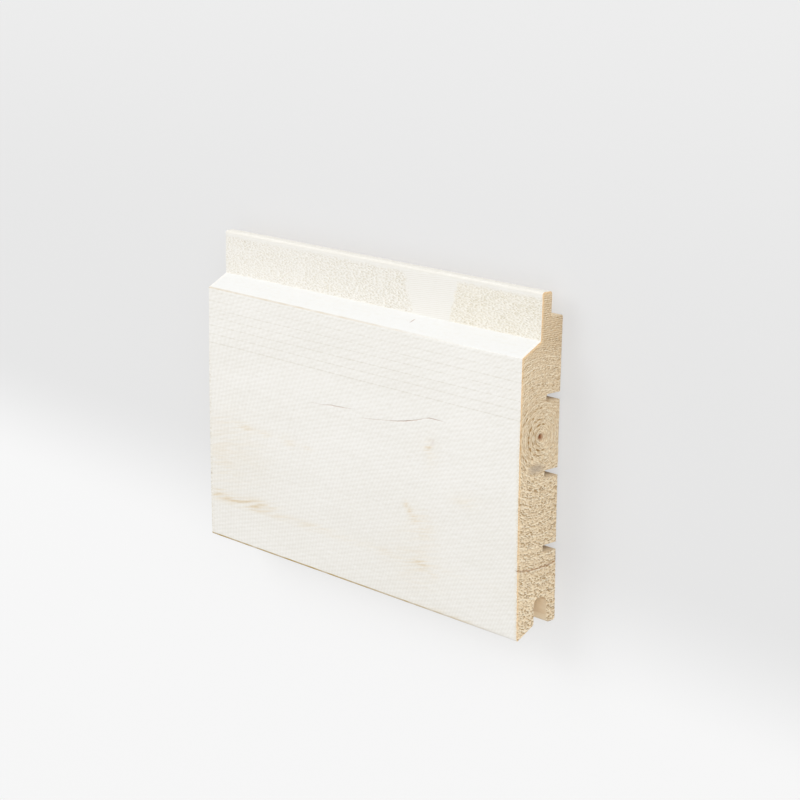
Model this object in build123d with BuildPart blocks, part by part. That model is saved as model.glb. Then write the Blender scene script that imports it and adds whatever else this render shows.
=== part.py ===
"""Tongue-and-groove exterior cladding board, a short cut length of sawn and planed softwood.

The board is one piece of timber. It lies on its back with the weather face up: X runs along the
board, Y across it towards the tongue, and Z from the back face to the weather face.
The origin is in the middle of the length and the width, on the plane of the back face.
"""

import os
from math import radians, tan

from build123d import *

# Overall sizes, millimetres
LENGTH = 200.0
WIDTH = 145.0  # from the drip edge to the top of the tongue
THICKNESS = 23.0

# Tongue, with a sloped shoulder in front of it and a square rebate behind it
TONGUE_SETBACK = 10.4  # from the weather face to the front of the tongue
TONGUE_THICKNESS = 5.7
TONGUE_HEIGHT = 20.0  # from the top of the slope to the top of the tongue
REBATE_HEIGHT = 10.5  # from the rebate's shoulder to the top of the tongue
SLOPE_ANGLE = 28.0  # degrees, of the front shoulder and of the drip lip that covers it

# Groove that takes the tongue of the next board
FRONT_CLEARANCE = 0.2
BACK_CLEARANCE = 1.6
END_CLEARANCE = 1.2  # past the tongue's top when the back lip sits on the rebate's shoulder
BACK_LIP_RISE = 4.4  # from the drip edge up to the end of the back lip

# Relief slots sawn along the back, which keep the board from cupping
RELIEF_COUNT = 3
RELIEF_PITCH = 32.0
RELIEF_FIRST = 37.0  # from the drip edge to the middle of the lowest slot
RELIEF_WIDTH = 3.2
RELIEF_DEPTH = 8.0

# Rounded edges
ARRIS_RADIUS = 0.4  # edge between the weather face and the slope
DRIP_RADIUS = 0.8  # both edges of the drip lip
CUTTER_RADIUS = 0.5  # inner corners at the foot of the tongue
TONGUE_EDGE_RADIUS = 1.3
BACK_EDGE_RADIUS = 0.9  # edges of the back face
LEAD_IN_RADIUS = 1.4  # edge of the back lip where the tongue enters
GROOVE_END_RADIUS = 2.5
RELIEF_END_RADIUS = 0.7

# Levels across the board, along Y
drip_y = -WIDTH / 2
tongue_top_y = WIDTH / 2
slope_top_y = tongue_top_y - TONGUE_HEIGHT
slope_foot_y = slope_top_y - TONGUE_SETBACK * tan(radians(SLOPE_ANGLE))
shoulder_y = tongue_top_y - REBATE_HEIGHT
back_lip_y = drip_y + BACK_LIP_RISE
groove_end_y = back_lip_y + REBATE_HEIGHT + END_CLEARANCE

# Levels through the board, along Z
tongue_front_z = THICKNESS - TONGUE_SETBACK
tongue_back_z = tongue_front_z - TONGUE_THICKNESS
groove_front_z = tongue_front_z + FRONT_CLEARANCE
groove_back_z = tongue_back_z - BACK_CLEARANCE

# The drip lip comes to an acute corner, whose radius trims it back to the drip edge
drip_corner_angle = 90 - SLOPE_ANGLE
drip_corner_y = drip_y - DRIP_RADIUS * (1 / tan(radians(drip_corner_angle / 2)) - 1)
drip_lip_thickness = THICKNESS - groove_front_z
drip_lip_inner_y = drip_corner_y + drip_lip_thickness * tan(radians(SLOPE_ANGLE))

# Corners of the cross section, in order round the board, each with its radius
section_corners = [
    ((drip_corner_y, THICKNESS), DRIP_RADIUS),
    ((slope_foot_y, THICKNESS), ARRIS_RADIUS),
    ((slope_top_y, tongue_front_z), CUTTER_RADIUS),
    ((tongue_top_y, tongue_front_z), TONGUE_EDGE_RADIUS),
    ((tongue_top_y, tongue_back_z), TONGUE_EDGE_RADIUS),
    ((shoulder_y, tongue_back_z), CUTTER_RADIUS),
    ((shoulder_y, 0), BACK_EDGE_RADIUS),
    ((back_lip_y, 0), BACK_EDGE_RADIUS),
    ((back_lip_y, groove_back_z), LEAD_IN_RADIUS),
    ((groove_end_y, groove_back_z), GROOVE_END_RADIUS),
    ((groove_end_y, groove_front_z), GROOVE_END_RADIUS),
    ((drip_lip_inner_y, groove_front_z), DRIP_RADIUS),
]
corner_points = [point for point, _ in section_corners]
corner_radii = [radius for _, radius in section_corners]

# Middle of the row of relief slots
relief_middle_y = drip_y + RELIEF_FIRST + RELIEF_PITCH * (RELIEF_COUNT - 1) / 2

with BuildPart() as cladding_board:
    with BuildSketch(Plane.YZ.offset(-LENGTH / 2)):
        with BuildLine():
            FilletPolyline(corner_points, radius=corner_radii, close=True)
        make_face()
        # Each slot's cutter straddles the back face, so only its inner end leaves rounded corners
        with Locations((relief_middle_y, 0)):
            with GridLocations(RELIEF_PITCH, 0, RELIEF_COUNT, 1):
                RectangleRounded(RELIEF_WIDTH, 2 * RELIEF_DEPTH, RELIEF_END_RADIUS, mode=Mode.SUBTRACT)
    extrude(amount=LENGTH)

cladding_board.part.label = "cladding_board"

os.makedirs("parts", exist_ok=True)
export_step(cladding_board.part, "parts/cladding_board.step")
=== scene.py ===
from math import atan2, cos, exp, hypot, pi, radians, sin, tan

import bmesh
import bpy
from mathutils import Matrix, Vector, noise


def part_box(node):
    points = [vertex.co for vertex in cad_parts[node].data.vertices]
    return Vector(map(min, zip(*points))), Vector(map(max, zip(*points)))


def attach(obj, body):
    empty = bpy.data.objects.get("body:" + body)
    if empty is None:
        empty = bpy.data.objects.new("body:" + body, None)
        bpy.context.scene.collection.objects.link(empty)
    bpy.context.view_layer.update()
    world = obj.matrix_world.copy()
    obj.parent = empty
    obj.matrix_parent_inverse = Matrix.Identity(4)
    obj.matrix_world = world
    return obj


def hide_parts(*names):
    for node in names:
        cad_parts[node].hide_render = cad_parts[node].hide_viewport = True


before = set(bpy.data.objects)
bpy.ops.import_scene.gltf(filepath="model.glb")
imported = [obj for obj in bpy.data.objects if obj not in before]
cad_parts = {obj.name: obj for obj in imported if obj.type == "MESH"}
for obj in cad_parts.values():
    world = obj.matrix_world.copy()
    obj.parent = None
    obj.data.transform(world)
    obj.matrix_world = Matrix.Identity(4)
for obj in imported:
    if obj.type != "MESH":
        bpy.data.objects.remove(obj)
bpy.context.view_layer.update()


# The board
# One plank of softwood, planed on its back and edges and left fine-sawn on its weather face. A tongue
# runs along its top edge, a groove under its drip lip, and relief slots are sawn along its back. White
# primer covers the face, the slope and the tongue. It lies on its back, weather face up.

back_corner, face_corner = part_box("cladding_board")
end_x = face_corner.x
drip_y = back_corner.y
tongue_top_y = face_corner.y
face_z = face_corner.z

tongue_setback = 0.0104
tongue_thickness = 0.0057
tongue_height = 0.0200
rebate_height = 0.0105
slope_angle = radians(28)
front_clearance = 0.0002
back_clearance = 0.0016
end_clearance = 0.0012
back_lip_rise = 0.0044
relief_pitch = 0.0320
relief_first = 0.0370
relief_count = 3
relief_width = 0.0032
relief_depth = 0.0080
arris_radius = 0.0004
drip_radius = 0.0008
cutter_radius = 0.0005
tongue_edge_radius = 0.0013
back_edge_radius = 0.0009
lead_in_radius = 0.0014
groove_end_radius = 0.0025
relief_end_radius = 0.0007

tongue_front_z = face_z - tongue_setback
tongue_back_z = tongue_front_z - tongue_thickness
groove_front_z = tongue_front_z + front_clearance
groove_back_z = tongue_back_z - back_clearance
slope_top_y = tongue_top_y - tongue_height
slope_foot_y = slope_top_y - tongue_setback * tan(slope_angle)
shoulder_y = tongue_top_y - rebate_height
back_lip_y = drip_y + back_lip_rise
groove_end_y = back_lip_y + rebate_height + end_clearance
drip_corner_y = drip_y - drip_radius * (1 / tan(radians(45) - slope_angle / 2) - 1)
drip_lip_inner_y = drip_corner_y + (face_z - groove_front_z) * tan(slope_angle)

# Corners round the section, each with its place, its radius and the number of flats in its arc
section_corners = [
    (drip_corner_y, face_z, drip_radius, 6),
    (slope_foot_y, face_z, arris_radius, 3),
    (slope_top_y, tongue_front_z, cutter_radius, 3),
    (tongue_top_y, tongue_front_z, tongue_edge_radius, 5),
    (tongue_top_y, tongue_back_z, tongue_edge_radius, 5),
    (shoulder_y, tongue_back_z, cutter_radius, 3),
    (shoulder_y, 0, back_edge_radius, 4),
]
for slot in reversed(range(relief_count)):
    slot_y = drip_y + relief_first + relief_pitch * slot
    upper_y = slot_y + relief_width / 2
    lower_y = slot_y - relief_width / 2
    section_corners += [
        (upper_y, 0, 0, 0),
        (upper_y, relief_depth, relief_end_radius, 3),
        (lower_y, relief_depth, relief_end_radius, 3),
        (lower_y, 0, 0, 0),
    ]
section_corners += [
    (back_lip_y, 0, back_edge_radius, 4),
    (back_lip_y, groove_back_z, lead_in_radius, 4),
    (groove_end_y, groove_back_z, groove_end_radius, 5),
    (groove_end_y, groove_front_z, groove_end_radius, 5),
    (drip_lip_inner_y, groove_front_z, drip_radius, 4),
]

board = bmesh.new()
corners = [board.verts.new((-end_x, y, z)) for y, z, _, _ in section_corners]
board.faces.new(corners)


def round_corner(mesh, corner, radius, flats):
    """Rounds one corner of the flat section. A vertex bevel's offset is the arc's tangent length."""
    one, other = [edge.other_vert(corner).co - corner.co for edge in corner.link_edges]
    bmesh.ops.bevel(mesh, geom=[corner], offset=radius / tan(one.angle(other) / 2), offset_type="OFFSET",
                    segments=flats, profile=0.5, affect="VERTICES", material=-1)


for corner, (_, _, radius, flats) in zip(corners, section_corners):
    if radius:
        round_corner(board, corner, radius, flats)

# Each straight stretch is divided before the section is drawn out into the board's length
face_step = 0.0010
tongue_step = 0.0005
plain_step = 0.0025


def on_weather_face(point):
    return point.z > face_z - 1e-6


def on_tongue_front(point):
    return abs(point.z - tongue_front_z) < 1e-6 and point.y > slope_top_y


for edge in list(board.edges):
    middle = (edge.verts[0].co + edge.verts[1].co) / 2
    step = plain_step
    if on_weather_face(middle):
        step = face_step
    elif on_tongue_front(middle):
        step = tongue_step
    pieces = round(edge.calc_length() / step)
    if pieces > 1:
        bmesh.ops.bisect_edges(board, edges=[edge], cuts=pieces - 1)

drawn = bmesh.ops.extrude_face_region(board, geom=list(board.faces))["geom"]
bmesh.ops.translate(board, verts=[part for part in drawn if isinstance(part, bmesh.types.BMVert)],
                    vec=(2 * end_x, 0, 0))
bmesh.ops.recalc_face_normals(board, faces=list(board.faces))

# The finishes: primer on what faces the weather and on the tongue, bare planed wood behind, sawn ends
primed, planed, sawn_end = range(3)
for face in board.faces:
    middle = face.calc_center_median()
    normal = face.normal
    on_tongue_top = middle.y > shoulder_y + cutter_radius and normal.y > 0.2
    if abs(normal.x) > 0.5:
        face.material_index = sawn_end
    elif (normal.z > 0.15 and middle.z > tongue_front_z - tongue_edge_radius) or on_tongue_top:
        face.material_index = primed
    else:
        face.material_index = planed

# The length is divided evenly, and the tongue's front more finely, for its torn grain
coarse_length = 0.0020
tongue_cuts = 3
lengthwise = [edge for edge in board.edges if abs(edge.verts[0].co.x - edge.verts[1].co.x) > end_x]
bmesh.ops.subdivide_edges(board, edges=lengthwise, cuts=round(2 * end_x / coarse_length) - 1,
                          use_grid_fill=True)
tongue_front = [face for face in board.faces
                if face.material_index == primed and on_tongue_front(face.calc_center_median())]
tongue_lengths = {edge for face in tongue_front for edge in face.edges
                  if abs(edge.verts[0].co.x - edge.verts[1].co.x) > coarse_length / 2}
bmesh.ops.subdivide_edges(board, edges=list(tongue_lengths), cuts=tongue_cuts, use_grid_fill=True)

# The two sawn ends are cut into small cells, which take the relief of torn end grain
end_step = 0.0004


def cut_cells(mesh, faces, axis, start, stop, step):
    """Cuts flat faces with evenly spaced planes square to an axis."""
    geometry = list({part for face in faces for part in [face, *face.edges, *face.verts]})
    for index in range(1, round((stop - start) / step)):
        cut = bmesh.ops.bisect_plane(mesh, geom=geometry, dist=1e-6, plane_no=axis,
                                     plane_co=axis * (start + index * step))
        geometry = cut["geom"]


ends = [face for face in board.faces if face.material_index == sawn_end]
cut_cells(board, ends, Vector((0, 1, 0)), drip_y, tongue_top_y, end_step)
ends = [face for face in board.faces if face.material_index == sawn_end]
cut_cells(board, ends, Vector((0, 0, 1)), 0, face_z, end_step)


def lumps(along, across, seed):
    """Smooth noise over a flat place, from -1 to 1. Each seed gives another pattern."""
    return noise.noise(Vector((along, across, seed)))


def limited(value):
    """Keeps a value between 0 and 1."""
    return min(1.0, max(0.0, value))


# Two drying cracks run along the face, the second one rising past a small knot. Each point has its place
# along and across the face, and how far the crack gapes there
cracks = [
    [(-0.0290, 0.0053, 0.1), (-0.0200, 0.0058, 0.3), (-0.0145, 0.0066, 0.7), (-0.0086, 0.0069, 0.8),
     (-0.0002, 0.0075, 0.1)],
    [(0.0048, 0.0045, 0.1), (0.0116, 0.0053, 0.4), (0.0201, 0.0064, 0.2), (0.0286, 0.0077, 0.8),
     (0.0338, 0.0087, 1.0), (0.0393, 0.0101, 0.7), (0.0454, 0.0121, 0.2), (0.0475, 0.0126, 1.0),
     (0.0511, 0.0127, 0.7), (0.0560, 0.0127, 0.1)],
]
crack_width = 0.00015
crack_depth = 0.0002
crack_wander = 0.00014
crack_wander_length = 0.0014
crack_surround = 0.0010
crack_cuts = 7


def near_path(x, y, path):
    """Distance from a flat place to a path, and the value its points carry, at the nearest place."""
    nearest = (1.0, 0.0)
    for (ax, ay, a_value), (bx, by, b_value) in zip(path, path[1:]):
        share = limited(((x - ax) * (bx - ax) + (y - ay) * (by - ay)) / ((bx - ax) ** 2 + (by - ay) ** 2))
        distance = hypot(x - ax - share * (bx - ax), y - ay - share * (by - ay))
        nearest = min(nearest, (distance, a_value + share * (b_value - a_value)))
    return nearest


def crack_mask(x, y):
    """How far the cracks gape at a place on the face; their edges wander a little."""
    ragged = crack_wander * lumps(x / crack_wander_length, y / crack_wander_length, seed=8.0)
    openness = 0.0
    for path in cracks:
        distance, gape = near_path(x, y + ragged, path)
        openness = max(openness, gape * exp(-(distance / crack_width) ** 2))
    return openness


near_crack = []
for face in board.faces:
    middle = face.calc_center_median()
    if face.material_index == primed and on_weather_face(middle):
        if min(near_path(middle.x, middle.y, path)[0] for path in cracks) < crack_surround:
            near_crack.append(face)
bmesh.ops.subdivide_edges(board, edges=list({edge for face in near_crack for edge in face.edges}),
                          cuts=crack_cuts, use_grid_fill=True)

sharp_angle = radians(28)
for edge in board.edges:
    edge.smooth = not (edge.is_manifold and edge.calc_face_angle() > sharp_angle)
for face in board.faces:
    face.smooth = True

# Resin and dye that bled through the primer: place, half length, half height, rise along it, strength
bleeds = [
    (-0.095, -0.0524, 0.007, 0.0015, 0.17, 0.34),
    (-0.086, -0.0526, 0.008, 0.0010, 0.17, 0.26),
    (-0.073, -0.0506, 0.012, 0.0014, 0.22, 0.24),
    (-0.065, -0.0516, 0.010, 0.0018, 0.15, 0.30),
    (-0.068, -0.0534, 0.004, 0.0008, 0.06, 0.25),
    (-0.048, -0.0533, 0.010, 0.0014, 0.0, 0.13),
    (-0.030, -0.0524, 0.014, 0.0016, 0.03, 0.11),
    (-0.078, -0.0515, 0.026, 0.0030, 0.03, 0.10),
    (-0.095, -0.0496, 0.006, 0.0010, 0.17, 0.16),
    (-0.074, -0.0154, 0.0045, 0.0014, 0.0, 0.16),
    (-0.060, -0.0156, 0.0045, 0.0012, 0.1, 0.18),
    (-0.044, -0.0158, 0.0050, 0.0024, -0.1, 0.18),
    (-0.031, -0.0160, 0.0035, 0.0010, 0.0, 0.20),
    (-0.082, -0.0150, 0.016, 0.0018, 0.0, 0.12),
    (-0.082, -0.0280, 0.022, 0.0170, 0.0, 0.10),
    (-0.095, -0.0340, 0.010, 0.0120, 0.0, 0.09),
    (0.000, -0.0525, 0.090, 0.0022, 0.0, 0.06),
    (0.021, -0.0530, 0.0045, 0.0024, 0.0, 0.08),
    (0.0430, -0.0526, 0.0050, 0.0022, -0.1, 0.26),
    (0.0500, -0.0552, 0.0030, 0.0012, -0.2, 0.16),
    (0.0340, -0.0284, 0.0016, 0.0018, 0.0, 0.32),
    (0.0366, -0.0311, 0.0016, 0.0020, 0.0, 0.38),
    (0.0397, -0.0330, 0.0020, 0.0018, 0.0, 0.24),
    (0.0440, -0.0350, 0.0065, 0.0060, 0.0, 0.17),
    (0.0400, -0.0520, 0.0150, 0.0130, 0.0, 0.12),
    (0.0700, -0.0190, 0.0090, 0.0030, 0.1, 0.12),
    (0.0600, -0.0718, 0.0190, 0.0012, 0.0, 0.26),
    (0.0476, -0.0010, 0.0020, 0.0026, 0.0, 0.36),
    (0.0490, -0.0020, 0.0055, 0.0080, 0.0, 0.07),
]


def bleed_mask(x, y):
    """How strongly colour shows through the primer at a place on the face."""
    total = 0.0
    for middle_x, middle_y, along, across, rise, strength in bleeds:
        off_x = (x - middle_x) / along
        off_y = (y - middle_y - rise * (x - middle_x)) / across
        reach = off_x * off_x + off_y * off_y
        if reach < 6:
            total += strength * exp(-reach)
    return min(1.0, total)


# The cutter tore the tongue's front, apart from a stretch whose two sides lean in from top to foot and a
# strip below the tongue's top edge. Away from the near end the tearing is milder
smooth_start_x = 0.0205
smooth_start_lean = 0.0070
smooth_start_fade = 0.0040
smooth_stop_x = 0.0515
smooth_stop_lean = 0.0045
smooth_stop_fade = 0.0015
smooth_strip = 0.0019
smooth_strip_fade = 0.0014
mild_x = -0.060
mild_fade = 0.070
smooth_wander = 0.0012
tear_depth = 0.00022


def torn_tongue(x, y):
    """How badly the tongue's front is torn at a place."""
    ragged = smooth_wander * lumps(x / 0.003, y / 0.003, seed=6.0)
    lowering = (tongue_top_y - y) / tongue_height
    before = limited((smooth_start_x + smooth_start_lean * lowering + ragged - x) / smooth_start_fade)
    after = limited((x - smooth_stop_x + smooth_stop_lean * lowering + ragged) / smooth_stop_fade)
    mild = 0.76 + 0.22 * limited((x - mild_x) / mild_fade)
    patchy = 1 + 0.30 * lumps(x / 0.011, y / 0.006, seed=5.0)
    below_strip = limited((tongue_top_y - smooth_strip + 0.5 * ragged - y) / smooth_strip_fade)
    return below_strip * patchy * max(mild * before, after)


# The face is slightly uneven, and has a small knot
knot_x, knot_y = 0.0493, 0.0024
knot_length, knot_height = 0.0008, 0.0015
knot_depth = 0.0001
unevenness = 0.00004

# Growth rings are counted outwards from the pith, a small pit of soft brown wood. One ring has come apart
# in a shake. The ends are torn below the pith and smoother above it
pith_y = 0.0126
pith_z = 0.0113
pith_radius = 0.0014
pith_depth = 0.0011
first_ring_width = 0.00168
ring_widening = 0.067
shake_radius = 0.0560
shake_width = 0.00025
shake_depth = 0.0002
rough_below_y = 0.004
smooth_above_y = 0.028
end_unevenness = 0.00008
end_tear_depth = 0.00012

# The board has cupped a little in drying, and its far end was cut slightly out of square
cup_height = 0.00082
cup_middle_y = 0.0015
far_end_excess = 0.0005
far_tongue_excess = 0.0007
far_tongue_start_y = 0.045
far_tongue_fade = 0.015

# The painted edges of the ends are stained orange, strongest round the tongue
primed_outline = [(drip_y, face_z, 0.8), (slope_foot_y, face_z, 0.9), (slope_top_y, tongue_front_z, 1.0),
                  (tongue_top_y, tongue_front_z, 1.0), (tongue_top_y, tongue_back_z, 0.8)]
rim_width = 0.0010

torn_layer = board.verts.layers.float.new("torn")
bleed_layer = board.verts.layers.float.new("bleed")
dark_layer = board.verts.layers.float.new("dark")
sawn_layer = board.verts.layers.float.new("fine_sawn")
slope_layer = board.verts.layers.float.new("slope")
tongue_layer = board.verts.layers.float.new("tongue")
rim_layer = board.verts.layers.float.new("rim")
for vert in board.verts:
    x, y, z = vert.co
    shift = Vector()
    at_end = abs(x) > end_x - 1e-6
    lift = cup_height * (1 - ((y - cup_middle_y) / tongue_top_y) ** 2)
    if on_weather_face(vert.co):
        vert[sawn_layer] = 1.0
        crack = crack_mask(x, y)
        knot = exp(-((x - knot_x) / knot_length) ** 2 - ((y - knot_y) / knot_height) ** 2)
        vert[dark_layer] = max(0.9 * crack, 0.34 * knot)
        shift.z -= crack_depth * crack + knot_depth * knot
        shift.z += unevenness * lumps(x / 0.040, y / 0.009, seed=1.0)
    if z > tongue_front_z + 1e-5 and not at_end:
        vert[bleed_layer] = bleed_mask(x, y)
        if y > slope_foot_y:
            vert[slope_layer] = 1.0
    if y > slope_top_y:
        vert[tongue_layer] = 1.0
    if on_tongue_front(vert.co):
        torn = torn_tongue(x, y)
        vert[torn_layer] = torn
        shift.z -= tear_depth * torn * (0.5 + 0.5 * lumps(x / 0.0012, y / 0.0010, seed=2.0))
    if at_end:
        from_pith = Vector((y - pith_y, z + lift - pith_z))
        radius = from_pith.length
        arc = radius * atan2(from_pith.y, abs(from_pith.x))
        rough = 1.0 - limited((y - rough_below_y) / (smooth_above_y - rough_below_y))
        pith = exp(-(radius / pith_radius) ** 4)
        shake = exp(-((radius - shake_radius) / shake_width) ** 2) if y < 0 else 0.0
        distance, strength = near_path(y, z, primed_outline)
        vert[torn_layer] = rough
        vert[dark_layer] = max(pith, 0.8 * shake)
        vert[rim_layer] = strength * exp(-(distance / rim_width) ** 2)
        pattern = 4.0 if x > 0 else 9.0
        relief = end_unevenness + end_tear_depth * rough
        relief *= lumps(radius / 0.0011, arc / 0.0013, seed=pattern)
        relief -= pith_depth * pith + shake_depth * shake
        shift.x += relief if x > 0 else -relief
    if x < 0:
        tongue_share = limited((y - far_tongue_start_y) / far_tongue_fade)
        shift.x -= (far_end_excess + far_tongue_excess * tongue_share) * (x / end_x) ** 4
    shift.z += lift
    vert.co += shift

mesh = bpy.data.meshes.new("primed_board")
board.to_mesh(mesh)
board.free()
primed_board = bpy.data.objects.new("primed_board", mesh)
bpy.context.scene.collection.objects.link(primed_board)


def new_node(tree, kind, inputs, **settings):
    """Adds a node, applies its settings and fills its inputs with values or with other nodes' outputs."""
    made = tree.nodes.new(kind)
    for name, value in settings.items():
        setattr(made, name, value)
    for name, value in inputs.items():
        if isinstance(value, bpy.types.NodeSocket):
            tree.links.new(value, made.inputs[name])
        else:
            made.inputs[name].default_value = value
    return made


def maths(tree, operation, *values, clamp=False):
    """One step of arithmetic on values or outputs."""
    made = new_node(tree, "ShaderNodeMath", dict(enumerate(values)), operation=operation, use_clamp=clamp)
    return made.outputs[0]


def times(tree, first, *others, clamp=False):
    """The product of two or more values or outputs."""
    for other in others:
        first = maths(tree, "MULTIPLY", first, other, clamp=clamp)
    return first


def plus_share(tree, base, share, value, clamp=False):
    """A base with a share of a value added to it."""
    return maths(tree, "MULTIPLY_ADD", value, share, base, clamp=clamp)


def blend(tree, share, one, other):
    """Mixes two colours by a share from 0 to 1."""
    made = new_node(tree, "ShaderNodeMix", {0: share, 6: one, 7: other}, data_type="RGBA")
    return made.outputs[2]


def mask(tree, name):
    """Reads one of the values stored on the board's points."""
    return new_node(tree, "ShaderNodeAttribute", {}, attribute_name=name).outputs["Fac"]


def place_parts(tree):
    """The place on the board as separate X, Y and Z."""
    place = new_node(tree, "ShaderNodeTexCoord", {}).outputs["Object"]
    return new_node(tree, "ShaderNodeSeparateXYZ", {0: place}).outputs


def laid_out(tree, size, centre=(0, 0, 0), turn=0.0):
    """Places on the board counted in the given sizes along X, Y and Z, from a centre and turned about Z."""
    place = new_node(tree, "ShaderNodeTexCoord", {}).outputs["Object"]
    inputs = {"Vector": place, "Location": centre, "Rotation": (0, 0, turn), "Scale": size}
    return new_node(tree, "ShaderNodeMapping", inputs, vector_type="TEXTURE").outputs[0]


def noise_at(tree, size, detail=2.0, roughness=0.5, turn=0.0):
    """Noise with the size of its features along X, Y and Z, turned about Z."""
    return new_node(tree, "ShaderNodeTexNoise", {"Vector": laid_out(tree, size, turn=turn), "Scale": 1.0,
                                                 "Detail": detail, "Roughness": roughness}).outputs["Fac"]


def ramp(tree, value, start, stop):
    """A smooth step from 0 at the start to 1 at the stop."""
    return new_node(tree, "ShaderNodeMapRange", {"Value": value, "From Min": start, "From Max": stop},
                    interpolation_type="SMOOTHSTEP").outputs[0]


def new_group(name, outputs):
    """A node group that puts out the named values."""
    tree = bpy.data.node_groups.new(name, "ShaderNodeTree")
    for output in outputs:
        tree.interface.new_socket(output, in_out="OUTPUT", socket_type="NodeSocketFloat")
    return tree, tree.nodes.new("NodeGroupOutput")


# Growth rings round the pith: a latewood band that ends each year, its last line, a pale line in the middle
# of the year, and places across and along the rings
ring_wander = 0.0010
ring_wander_size = (0.09, 0.012, 0.012)
first_ring_start = 0.1

growth_rings, result = new_group("growth_rings", ["Latewood", "Line", "Pale", "Radius", "Arc"])
apart = place_parts(growth_rings)
off_y = maths(growth_rings, "SUBTRACT", apart["Y"], pith_y)
off_z = maths(growth_rings, "SUBTRACT", apart["Z"], pith_z)
squares = maths(growth_rings, "ADD", times(growth_rings, off_y, off_y), times(growth_rings, off_z, off_z))
wander = plus_share(growth_rings, -ring_wander / 2, ring_wander, noise_at(growth_rings, ring_wander_size))
radius = maths(growth_rings, "ADD", maths(growth_rings, "SQRT", squares), wander)
grown = plus_share(growth_rings, 1.0, ring_widening / first_ring_width, radius)
count = maths(growth_rings, "LOGARITHM", grown, exp(ring_widening))
count = maths(growth_rings, "SUBTRACT", count, first_ring_start)
year = maths(growth_rings, "FLOOR", count)
season = maths(growth_rings, "FRACT", count)
late = ramp(growth_rings, season, 0.45, 0.90)
close = ramp(growth_rings, season, 0.80, 0.96)
ending = ramp(growth_rings, season, 1.0, 0.96)
vigour = new_node(growth_rings, "ShaderNodeTexWhiteNoise", {"W": year}, noise_dimensions="1D")
strength = plus_share(growth_rings, 0.3, 0.7, vigour.outputs["Value"])
pale = times(growth_rings, ramp(growth_rings, season, 0.43, 0.52), ramp(growth_rings, season, 0.62, 0.54))
turned = maths(growth_rings, "ARCTAN2", off_z, maths(growth_rings, "ABSOLUTE", off_y))
growth_rings.links.new(times(growth_rings, late, ending, strength), result.inputs["Latewood"])
growth_rings.links.new(times(growth_rings, close, ending, strength), result.inputs["Line"])
growth_rings.links.new(pale, result.inputs["Pale"])
growth_rings.links.new(radius, result.inputs["Radius"])
growth_rings.links.new(times(growth_rings, turned, radius), result.inputs["Arc"])

# The weather face is left from a fine saw, whose teeth cross the board in two sets of ripples. One set is
# even. The other has a count of waves to the metre along and across the board, which changes with the
# place, so that it turns and closes up along the board
even_pitch = 0.00195
even_turn = radians(-73.5)
waves_along = 432.0
waves_along_by_x = 300.0
waves_along_by_y = -1600.0
waves_across = -244.0
waves_across_by_y = -600.0
ripple_drift = 4.0
ripple_drift_size = (0.03, 0.02, 0.02)

saw_ripple, result = new_group("saw_ripple", ["Height"])
apart = place_parts(saw_ripple)
even_count = times(saw_ripple, apart["Y"], sin(even_turn) / even_pitch)
even_count = plus_share(saw_ripple, even_count, cos(even_turn) / even_pitch, apart["X"])
along = plus_share(saw_ripple, waves_along, waves_along_by_x, apart["X"])
along = plus_share(saw_ripple, along, waves_along_by_y, apart["Y"])
across = plus_share(saw_ripple, waves_across, waves_across_by_y, apart["Y"])
turning_count = plus_share(saw_ripple, times(saw_ripple, apart["Y"], across), along, apart["X"])
drift = times(saw_ripple, noise_at(saw_ripple, ripple_drift_size), ripple_drift)
waves = []
for count in (even_count, turning_count):
    waves.append(maths(saw_ripple, "SINE", plus_share(saw_ripple, drift, 2 * pi, count)))
height = times(saw_ripple, maths(saw_ripple, "ADD", *waves), 0.5)
saw_ripple.links.new(height, result.inputs["Height"])


def use_group(tree, group):
    """Places a node group and returns its outputs."""
    return new_node(tree, "ShaderNodeGroup", {}, node_tree=group).outputs


def spot(tree, centre, reach, turn=0.0):
    """A soft spot on the board: 1 in its middle, 0 at its reach along X, Y and Z, turned about Z."""
    return new_node(tree, "ShaderNodeTexGradient", {"Vector": laid_out(tree, reach, centre, turn)},
                    gradient_type="SPHERICAL").outputs["Fac"]


def torn_wood(tree, place):
    """Torn wood with one pit to each square unit of a place: its pits, each of its own depth, and the tufts
    raised beside them. The pits serve also as painted shade and the tufts as painted highlights."""
    ragged = new_node(tree, "ShaderNodeTexNoise", {"Vector": place, "Scale": 1.1, "Detail": 1.0},
                      noise_dimensions="2D").outputs["Color"]
    place = new_node(tree, "ShaderNodeVectorMath", {0: ragged, 1: (0.9, 0.9, 0), 2: place},
                     operation="MULTIPLY_ADD").outputs[0]
    marks = []
    for shift in ((0, 0, 0), (0.50, 0.25, 0)):
        moved = new_node(tree, "ShaderNodeVectorMath", {0: place, 1: shift}, operation="ADD").outputs[0]
        cells = new_node(tree, "ShaderNodeTexVoronoi", {"Vector": moved, "Scale": 1.0, "Randomness": 1.0},
                         voronoi_dimensions="2D").outputs
        depth = new_node(tree, "ShaderNodeSeparateColor", {0: cells["Color"]}).outputs[0]
        depth = plus_share(tree, 0.40, 0.60, depth)
        marks.append(times(tree, ramp(tree, cells["Distance"], 0.60, 0.15), depth))
    return marks


def new_finish(name):
    """A new material, with its node tree and its surface shader."""
    finish = bpy.data.materials.new(name)
    finish.use_nodes = True
    return finish, finish.node_tree, finish.node_tree.nodes["Principled BSDF"]


def raise_relief(tree, surface, relief):
    """Raises a surface by a relief counted in millimetres."""
    bump = new_node(tree, "ShaderNodeBump", {"Height": relief, "Distance": 0.001, "Strength": 1.0})
    tree.links.new(bump.outputs[0], surface.inputs["Normal"])


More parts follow.
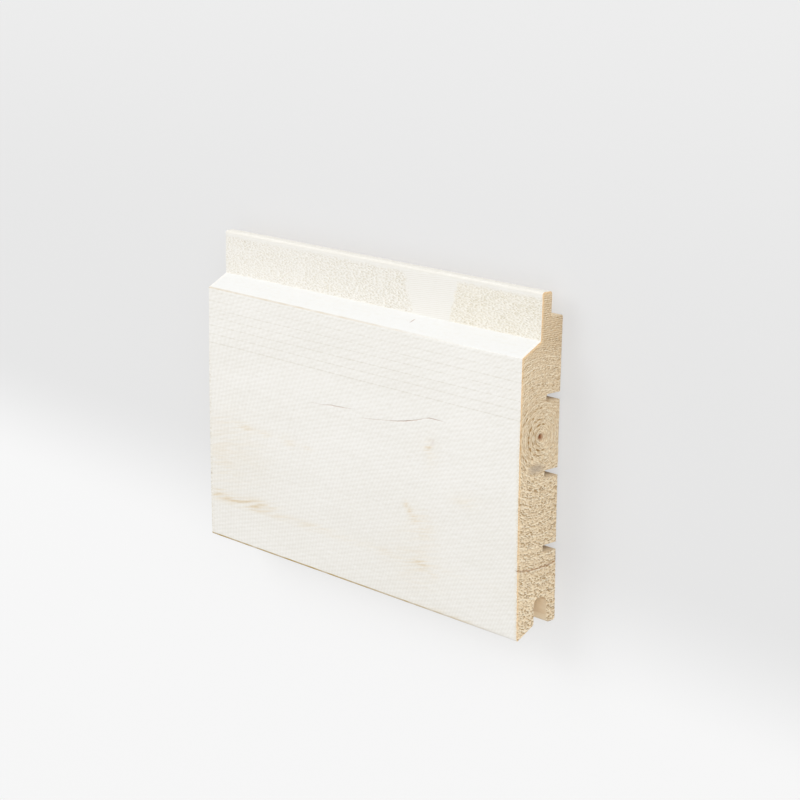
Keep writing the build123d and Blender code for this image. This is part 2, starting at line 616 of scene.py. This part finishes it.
# White primer, thin enough for the grain to show and for resin to bleed through
primer_white = (0.868, 0.852, 0.812, 1)
primer_shade = (0.740, 0.712, 0.645, 1)
slope_shaded_white = (0.797, 0.799, 0.785, 1)
tongue_white = (0.824, 0.806, 0.762, 1)
highlight_white = (0.940, 0.925, 0.880, 1)
bleed_tan = (0.780, 0.650, 0.430, 1)
bleed_brown = (0.560, 0.380, 0.160, 1)
pit_tan = (0.450, 0.375, 0.210, 1)
tear_ochre = (0.860, 0.715, 0.370, 1)
wear_and_shadow_brown = (0.480, 0.330, 0.110, 1)
crack_brown = (0.300, 0.130, 0.050, 1)

primer, tree, surface = new_finish("white_primer")
apart = place_parts(tree)
fine_sawn = mask(tree, "fine_sawn")
on_tongue = mask(tree, "tongue")
torn = mask(tree, "torn")

# The coat is thin over the fibres and the ring lines of the upper face. The lower face is darker and
# yellower towards the drip edge, and the rolled top edge is darker, a painted shade for how light falls on
# its rounding.
ripple = times(tree, use_group(tree, saw_ripple)["Height"], fine_sawn)
fibre = noise_at(tree, (0.030, 0.0013, 0.0013), detail=3.0)
cloud = noise_at(tree, (0.050, 0.020, 0.020))
speck = noise_at(tree, (0.0028, 0.0013, 0.0013), detail=4.0, roughness=0.8)
upper_face = times(tree, fine_sawn, ramp(tree, apart["Y"], 0.013, 0.022))
lower_face = times(tree, fine_sawn, ramp(tree, apart["Y"], 0.0, -0.06))
broken = times(tree, plus_share(tree, 0.75, -0.35, ripple), noise_at(tree, (0.012, 0.003, 0.003)))
line = times(tree, use_group(tree, growth_rings)["Line"], upper_face, broken)
rolled_edge_shade = ramp(tree, apart["Y"], tongue_top_y - 0.0020, tongue_top_y - 0.0010)
thin = plus_share(tree, plus_share(tree, -0.16, 0.40, fibre), 1.6, line)
thin = plus_share(tree, thin, 0.60, rolled_edge_shade)
thin = plus_share(tree, thin, plus_share(tree, -0.05, 0.5, cloud), fine_sawn)
thin = plus_share(tree, thin, 0.12, lower_face)
thin = plus_share(tree, thin, -0.19, ripple)
thin = plus_share(tree, thin, 1.25, maths(tree, "SUBTRACT", speck, 0.5))

# Chatter of the cutter shows in fine lines where the tongue's front stayed smooth, below its rolled edge
chatter_pitch = 0.00082
chatter_rise = 0.085
chatter = plus_share(tree, apart["Y"], -chatter_rise, apart["X"])
chatter = maths(tree, "SINE", times(tree, chatter, 2 * pi / chatter_pitch))
below_edge = ramp(tree, apart["Y"], tongue_top_y - 0.0016, tongue_top_y - 0.0024)
smooth_tongue = times(tree, on_tongue, below_edge, plus_share(tree, 1.0, -3.0, torn, clamp=True))
thin = plus_share(tree, thin, 0.60, times(tree, chatter, smooth_tongue), clamp=True)

# The slope takes a greyer, darker copy of the primer white, a painted shade that offsets the stronger light
# on it.
coat = blend(tree, mask(tree, "slope"), primer_white, slope_shaded_white)
coat = blend(tree, on_tongue, coat, tongue_white)
# The crest of the tongue's top edge is painted whiter, a painted highlight.
top_edge_highlight = ramp(tree, apart["Y"], tongue_top_y - 0.0008, tongue_top_y - 0.0003)
coat = blend(tree, times(tree, top_edge_highlight, 0.70), coat, highlight_white)
colour = blend(tree, thin, coat, primer_shade)

# The bleeds break into streaks along the grain
streak = noise_at(tree, (0.012, 0.0011, 0.0011), turn=radians(12))
streak = ramp(tree, streak, 0.36, 0.66)
bleed = times(tree, mask(tree, "bleed"), plus_share(tree, 0.30, 1.3, streak), clamp=True)
colour = blend(tree, bleed, colour, blend(tree, bleed, bleed_tan, bleed_brown))

# The sharp edge above the face has worn through to brown wood. The line along the drip edge below it is
# brown, partly bare wood and partly painted contact shadow. Both fade towards the near end.
from_arris = maths(tree, "ABSOLUTE", maths(tree, "SUBTRACT", apart["Y"], slope_foot_y))
from_drip = maths(tree, "SUBTRACT", apart["Y"], drip_y)
worn_arris = times(tree, ramp(tree, from_arris, 0.0005, 0.0001), ramp(tree, apart["X"], 0.080, -0.02), 0.65)
drip_shadow_and_wear = times(tree, ramp(tree, from_drip, 0.0011, 0.0006), ramp(tree, apart["X"], 0.110, 0.0))
wear_and_drip_shadow = plus_share(tree, worn_arris, 1.8, drip_shadow_and_wear)
wear_and_drip_shadow = times(tree, wear_and_drip_shadow, noise_at(tree, (0.008, 0.008, 0.008)), clamp=True)
colour = blend(tree, wear_and_drip_shadow, colour, wear_and_shadow_brown)

# Pits and tufts on the torn tongue, where bare wood shows through in ochre, most towards the near end. The
# pits' dark colour is partly painted shade, and the tufts' pale colour is a painted highlight.
tear_spacing = (0.0016, 0.00072, 1)
pits, tufts = torn_wood(tree, laid_out(tree, tear_spacing))
pits = times(tree, pits, torn, clamp=True)
tufts = times(tree, tufts, torn, clamp=True)
colour = blend(tree, times(tree, tufts, 0.60), colour, highlight_white)
colour = blend(tree, times(tree, pits, 0.42), colour, pit_tan)
ochre = plus_share(tree, 0.04, 0.08, ramp(tree, apart["X"], 0.030, 0.055))
colour = blend(tree, times(tree, torn, ochre), colour, tear_ochre)

# The cracks, the knot and a dark fleck on the slope. The cracks' dark brown is partly bare wood and partly
# painted shade in their gaps.
fleck_place = (0.0294, 0.0505, tongue_front_z)
fleck_reach = (0.0011, 0.0004, 0.05)
fleck_turn = radians(57)
fleck = ramp(tree, spot(tree, fleck_place, fleck_reach, fleck_turn), 0.0, 0.7)
dark = maths(tree, "MAXIMUM", mask(tree, "dark"), times(tree, fleck, 0.6))
colour = blend(tree, dark, colour, crack_brown)
tree.links.new(colour, surface.inputs["Base Color"])
surface.inputs["Roughness"].default_value = 0.62
relief = plus_share(tree, times(tree, fibre, 0.015), 0.028, ripple)
relief = plus_share(tree, relief, 0.09, maths(tree, "SUBTRACT", tufts, pits))
raise_relief(tree, surface, relief)

# Bare planed softwood
early_tan = (0.950, 0.810, 0.600, 1)
late_brown = (0.700, 0.500, 0.290, 1)

planed_wood, tree, surface = new_finish("planed_softwood")
fibre = noise_at(tree, (0.030, 0.0006, 0.0006), detail=4.0)
latewood = use_group(tree, growth_rings)["Latewood"]
grain = plus_share(tree, plus_share(tree, -0.15, 0.5, fibre), 0.75, latewood, clamp=True)
tree.links.new(blend(tree, grain, early_tan, late_brown), surface.inputs["Base Color"])
surface.inputs["Roughness"].default_value = 0.68
raise_relief(tree, surface, times(tree, fibre, 0.03))

# End grain, torn by the crosscut saw into pits and tufts that follow the rings, shallower in the latewood
# and above the pith. The pits' dark colour is partly painted shade, and the tufts' pale colour is a painted
# highlight.
end_pale_and_highlight = (1.000, 0.895, 0.695, 1)
end_tan = (0.890, 0.728, 0.502, 1)
end_shade = (0.645, 0.505, 0.335, 1)
end_pit = (0.370, 0.195, 0.045, 1)
end_orange = (0.950, 0.660, 0.360, 1)
end_smudge = (0.530, 0.430, 0.320, 1)
pith_brown = (0.300, 0.110, 0.035, 1)

end_grain, tree, surface = new_finish("end_grain")
apart = place_parts(tree)
rings = use_group(tree, growth_rings)
torn = mask(tree, "torn")


def torn_along_rings(tree, rings, across, along):
    """Torn wood laid out round the pith, given the spacing of its pits across the rings and along them."""
    place = new_node(tree, "ShaderNodeCombineXYZ", {0: maths(tree, "DIVIDE", rings["Radius"], across),
                                                    1: maths(tree, "DIVIDE", rings["Arc"], along)})
    return torn_wood(tree, place.outputs[0])


pits, tufts = torn_along_rings(tree, rings, across=0.00080, along=0.00150)
tearing = times(tree, plus_share(tree, 0.74, 0.26, torn), plus_share(tree, 1.0, -0.55, rings["Latewood"]))
pits = times(tree, pits, tearing)
tufts = times(tree, tufts, tearing)

# Saw marks in level rows across the end of the tongue
row_pitch = 0.00087
level = ramp(tree, apart["Y"], 0.043, 0.052)
rows = maths(tree, "SINE", times(tree, apart["Y"], 2 * pi / row_pitch))
rows = times(tree, plus_share(tree, 0.5, 0.5, rows), level)
pits = plus_share(tree, times(tree, pits, plus_share(tree, 1.0, -0.4, level)), 0.42, rows)

# Broken dashes in the latewood of the rings next to the pith, strongest towards the face
near_pith = ramp(tree, rings["Radius"], 0.021, 0.009)
past_pith = ramp(tree, rings["Radius"], 0.0018, 0.0034)
face_side = plus_share(tree, 0.35, 0.65, ramp(tree, apart["Z"], 0.006, 0.015))
dashes, _ = torn_along_rings(tree, rings, across=0.00115, along=0.00230)
dashes = times(tree, dashes, near_pith, face_side, plus_share(tree, 0.25, 0.75, rings["Latewood"]))
dashes = times(tree, dashes, times(tree, past_pith, 2.4), clamp=True)
pits = times(tree, pits, plus_share(tree, 1.0, -0.25, near_pith))
pits = maths(tree, "MAXIMUM", pits, dashes)

# The ground colour is darker above the pith and paler towards the drip edge
speck = noise_at(tree, (0.0005, 0.0004, 0.0005), detail=3.0, roughness=0.7)
tone = plus_share(tree, plus_share(tree, -0.65, 1.8, speck), 0.36, maths(tree, "SUBTRACT", 1.0, torn))
tone = plus_share(tree, tone, -0.80, ramp(tree, apart["Y"], -0.045, -0.065), clamp=True)
colour = blend(tree, tone, end_tan, end_shade)
colour = blend(tree, times(tree, tufts, 1.05, clamp=True), colour, end_pale_and_highlight)
colour = blend(tree, times(tree, pits, 0.90), colour, end_pit)

# Pale broken arcs below the tongue, a smudge under the pith, the stained rim, the pith and the shake. The
# shake's dark line is partly painted shade in its gap.
broken = ramp(tree, noise_at(tree, (0.004, 0.004, 0.004)), 0.35, 0.60)
below_tongue = plus_share(tree, 0.62, -0.62, level)
colour = blend(tree, times(tree, rings["Pale"], broken, below_tongue), colour, end_pale_and_highlight)
smudge_place = (end_x, -0.0005, 0.0135)
smudge_reach = (0.05, 0.0030, 0.0065)
smudge = ramp(tree, spot(tree, smudge_place, smudge_reach), 0.0, 0.8)
colour = blend(tree, times(tree, smudge, 0.85), colour, end_smudge)
colour = blend(tree, times(tree, mask(tree, "rim"), 0.85), colour, end_orange)
colour = blend(tree, mask(tree, "dark"), colour, pith_brown)
tree.links.new(colour, surface.inputs["Base Color"])
surface.inputs["Roughness"].default_value = 0.8
relief = plus_share(tree, times(tree, speck, 0.20), 0.20, maths(tree, "SUBTRACT", tufts, pits))
raise_relief(tree, surface, relief)

for finish in (primer, planed_wood, end_grain):
    mesh.materials.append(finish)
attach(primed_board, "root")
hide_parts("cladding_board")


# The floor
# One flat sheet of plain pale paper that the board lies on. It glows a little to the eye, most past the
# drip edge, and keeps the board's shadow. Towards the board it is plain white paper.

floor_half_width = 3.0
paper_white = (0.80, 0.80, 0.80, 1)
paper_seen = (0.21, 0.21, 0.21, 1)
glow_all_over = 0.555
glow_past_drip = 0.14
glow_past_tongue = 0.055

floor_mesh = bpy.data.meshes.new("floor")
ground = bmesh.new()
bmesh.ops.create_grid(ground, x_segments=1, y_segments=1, size=floor_half_width)
ground.to_mesh(floor_mesh)
ground.free()
floor = bpy.data.objects.new("floor", floor_mesh)
bpy.context.scene.collection.objects.link(floor)

paper, tree, surface = new_finish("pale_paper")
apart = place_parts(tree)
slant = plus_share(tree, apart["Y"], 0.03, apart["X"])
past_drip = ramp(tree, slant, -0.030, -0.095)
past_tongue = ramp(tree, slant, 0.03, 0.25)
glow = plus_share(tree, glow_all_over, glow_past_tongue, past_tongue)
glow = plus_share(tree, glow, glow_past_drip, past_drip)
path = new_node(tree, "ShaderNodeLightPath", {}).outputs
mirrored = maths(tree, "MAXIMUM", path["Is Glossy Ray"], path["Is Transmission Ray"])
seen = maths(tree, "MAXIMUM", path["Is Camera Ray"], mirrored)
tree.links.new(blend(tree, seen, paper_white, paper_seen), surface.inputs["Base Color"])
surface.inputs["Roughness"].default_value = 0.9
surface.inputs["Emission Color"].default_value = (1, 1, 1, 1)
tree.links.new(times(tree, glow, seen), surface.inputs["Emission Strength"])
floor_mesh.materials.append(paper)


# The light
# Soft studio light: an even white surround and three large square lamps, all turned to the board. The key
# lamp is past the tongue and the far end, one fill lights the near end, and a weaker one the face.

world = bpy.data.worlds.new("studio")
world.use_nodes = True
surround = world.node_tree.nodes["Background"]
surround.inputs["Color"].default_value = (1, 1, 1, 1)
surround.inputs["Strength"].default_value = 0.44
bpy.context.scene.world = world

# Each lamp has its place, the length of its sides and its power
lamps = [("key", (-1.6, 1.5, 2.0), 2.0, 54), ("end_fill", (2.3, 1.4, 1.1), 2.2, 35),
         ("front_fill", (1.6, -0.9, 2.4), 2.2, 16)]
for name, place, size, power in lamps:
    lamp = bpy.data.lights.new(name, "AREA")
    lamp.size = size
    lamp.energy = power
    lit = bpy.data.objects.new(name, lamp)
    lit.location = place
    lit.rotation_euler = (-lit.location).to_track_quat("-Z", "Y").to_euler()
    bpy.context.scene.collection.objects.link(lit)


# The camera
# A long lens that looks down on the board over its near end. The board's width runs up the picture, so the
# tongue is at the top, and the camera leans by a small roll.

camera_place = Vector((0.67626, 0.23434, 0.63561))
camera_forward = Vector((-0.70569, -0.23705, -0.66769))
camera_roll = radians(0.61)

camera = bpy.data.cameras.new("camera")
camera.lens = 97.08
camera.sensor_width = 36
view = bpy.data.objects.new("camera", camera)
right = camera_forward.cross(Vector((0, 1, 0))).normalized()
up = right.cross(camera_forward).normalized()
turn = Matrix((right, up, -camera_forward)).transposed()
view.matrix_world = Matrix.Translation(camera_place) @ turn.to_4x4() @ Matrix.Rotation(camera_roll, 4, "Z")
bpy.context.scene.collection.objects.link(view)
bpy.context.scene.camera = view
bpy.context.scene.view_settings.view_transform = "Standard"
